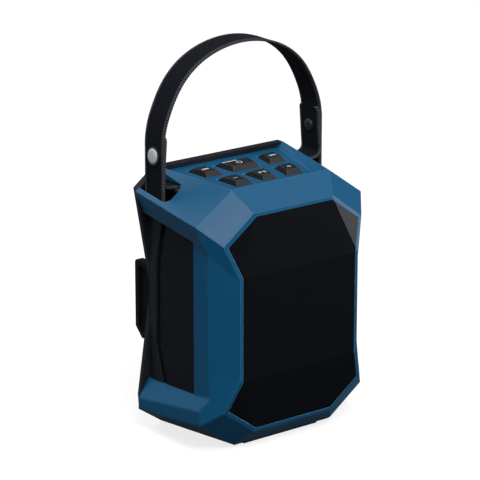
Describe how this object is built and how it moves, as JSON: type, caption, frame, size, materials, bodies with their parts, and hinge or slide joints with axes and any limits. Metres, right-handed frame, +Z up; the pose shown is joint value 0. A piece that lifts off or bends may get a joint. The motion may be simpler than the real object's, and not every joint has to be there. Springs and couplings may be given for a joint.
{
  "type": "bluetooth speaker",
  "caption": "Cordless jobsite speaker with a faceted shell and folded mesh grille, sprung top keys, a webbing carry strap and a slide-on battery dock at the back.",
  "frame": {"origin": "middle of the bounding box's footprint, on the plane the feet stand on", "axes": "+Z up, the grille faces -Y, and +X is to the right of someone who looks at the grille"},
  "size_m": [0.1206, 0.0942, 0.2242],
  "materials": {
    "shell_blue": "fine satin moulded texture",
    "shell_black": "satin moulded",
    "panel_black": "soft satin",
    "grille_black": "powder-coated perforated sheet",
    "cloth_black": "fine acoustic cloth",
    "basket_steel": "black coated",
    "gasket_foam": "closed-cell foam",
    "plain_steel": "zinc plated",
    "ferrite": "ground ceramic",
    "surround_rubber": "matt",
    "spider_cloth": "resin-stiffened cloth",
    "cone_paper": "coated paper",
    "coil_copper": "enamelled copper wire",
    "key_black": "satin with printed symbols",
    "mat_rubber": "matt silicone",
    "switch_grey": "moulded",
    "board_green": "solder mask",
    "component_black": "moulded",
    "dock_black": "satin moulded",
    "contact_metal": "plated",
    "strap_webbing": "ribbed woven webbing",
    "rivet_steel": "nickel plated",
    "foot_rubber": "matt"
  },
  "bodies": {
    "housing": {"front_housing": "shell_blue", "rear_housing": "shell_black", "side_panel_left": "panel_black", "side_panel_right": "panel_black", "speaker_grille": "grille_black", "grille_cloth": "cloth_black", "driver_basket": "basket_steel", "driver_gasket": "gasket_foam", "driver_top_plate": "plain_steel", "driver_magnet": "ferrite", "driver_yoke": "plain_steel", "driver_surround": "surround_rubber", "driver_spider": "spider_cloth", "driver_screws": "plain_steel", "key_mat": "mat_rubber", "key_switches": "switch_grey", "control_board": "board_green", "control_board_screws": "plain_steel", "main_board": "board_green", "board_parts": "component_black", "main_board_screws": "plain_steel", "battery_dock": "dock_black", "contact_block": "dock_black", "contact_blades": "contact_metal", "dock_screws": "plain_steel", "strap_bar_left": "plain_steel", "strap_bar_right": "plain_steel", "strap_leg_left": "strap_webbing", "strap_leg_right": "strap_webbing", "strap_rivets": "rivet_steel", "foot_front": "foot_rubber", "foot_rear": "foot_rubber", "housing_screws": "plain_steel"},
    "key_previous_body": {"key_previous": "key_black"},
    "key_power_body": {"key_power": "key_black"},
    "key_next_body": {"key_next": "key_black"},
    "key_volume_down_body": {"key_volume_down": "key_black"},
    "key_play_body": {"key_play": "key_black"},
    "key_volume_up_body": {"key_volume_up": "key_black"},
    "cone_assembly": {"driver_cone": "cone_paper", "driver_dust_cap": "cone_paper", "driver_voice_coil": "coil_copper"},
    "carry_strap": {"strap_arch": "strap_webbing"}
  },
  "joints": [
    {"name": "key_previous_press", "type": "slide", "parent": "housing", "child": "key_previous_body", "axis": [0, 0, -1], "range_m": [0, 0.0008], "stiffness_N_per_m": 1500},
    {"name": "key_power_press", "type": "slide", "parent": "housing", "child": "key_power_body", "axis": [0, 0, -1], "range_m": [0, 0.0008], "stiffness_N_per_m": 1500},
    {"name": "key_next_press", "type": "slide", "parent": "housing", "child": "key_next_body", "axis": [0, 0, -1], "range_m": [0, 0.0008], "stiffness_N_per_m": 1500},
    {"name": "key_volume_down_press", "type": "slide", "parent": "housing", "child": "key_volume_down_body", "axis": [0, 0, -1], "range_m": [0, 0.0008], "stiffness_N_per_m": 1500},
    {"name": "key_play_press", "type": "slide", "parent": "housing", "child": "key_play_body", "axis": [0, 0, -1], "range_m": [0, 0.0008], "stiffness_N_per_m": 1500},
    {"name": "key_volume_up_press", "type": "slide", "parent": "housing", "child": "key_volume_up_body", "axis": [0, 0, -1], "range_m": [0, 0.0008], "stiffness_N_per_m": 1500},
    {"name": "cone_stroke", "type": "slide", "parent": "housing", "child": "cone_assembly", "axis": [0, -1, 0], "range_m": [-0.0015, 0.0015], "stiffness_N_per_m": 1800, "deforming": ["driver_surround", "driver_spider"]},
    {"name": "strap_swing", "type": "hinge", "parent": "housing", "child": "carry_strap", "pos_m": [0, 0.0126, 0.1868], "axis": [1, 0, 0], "range_deg": [-40, 40], "stiffness_Nm_per_rad": 0.03}
  ]
}
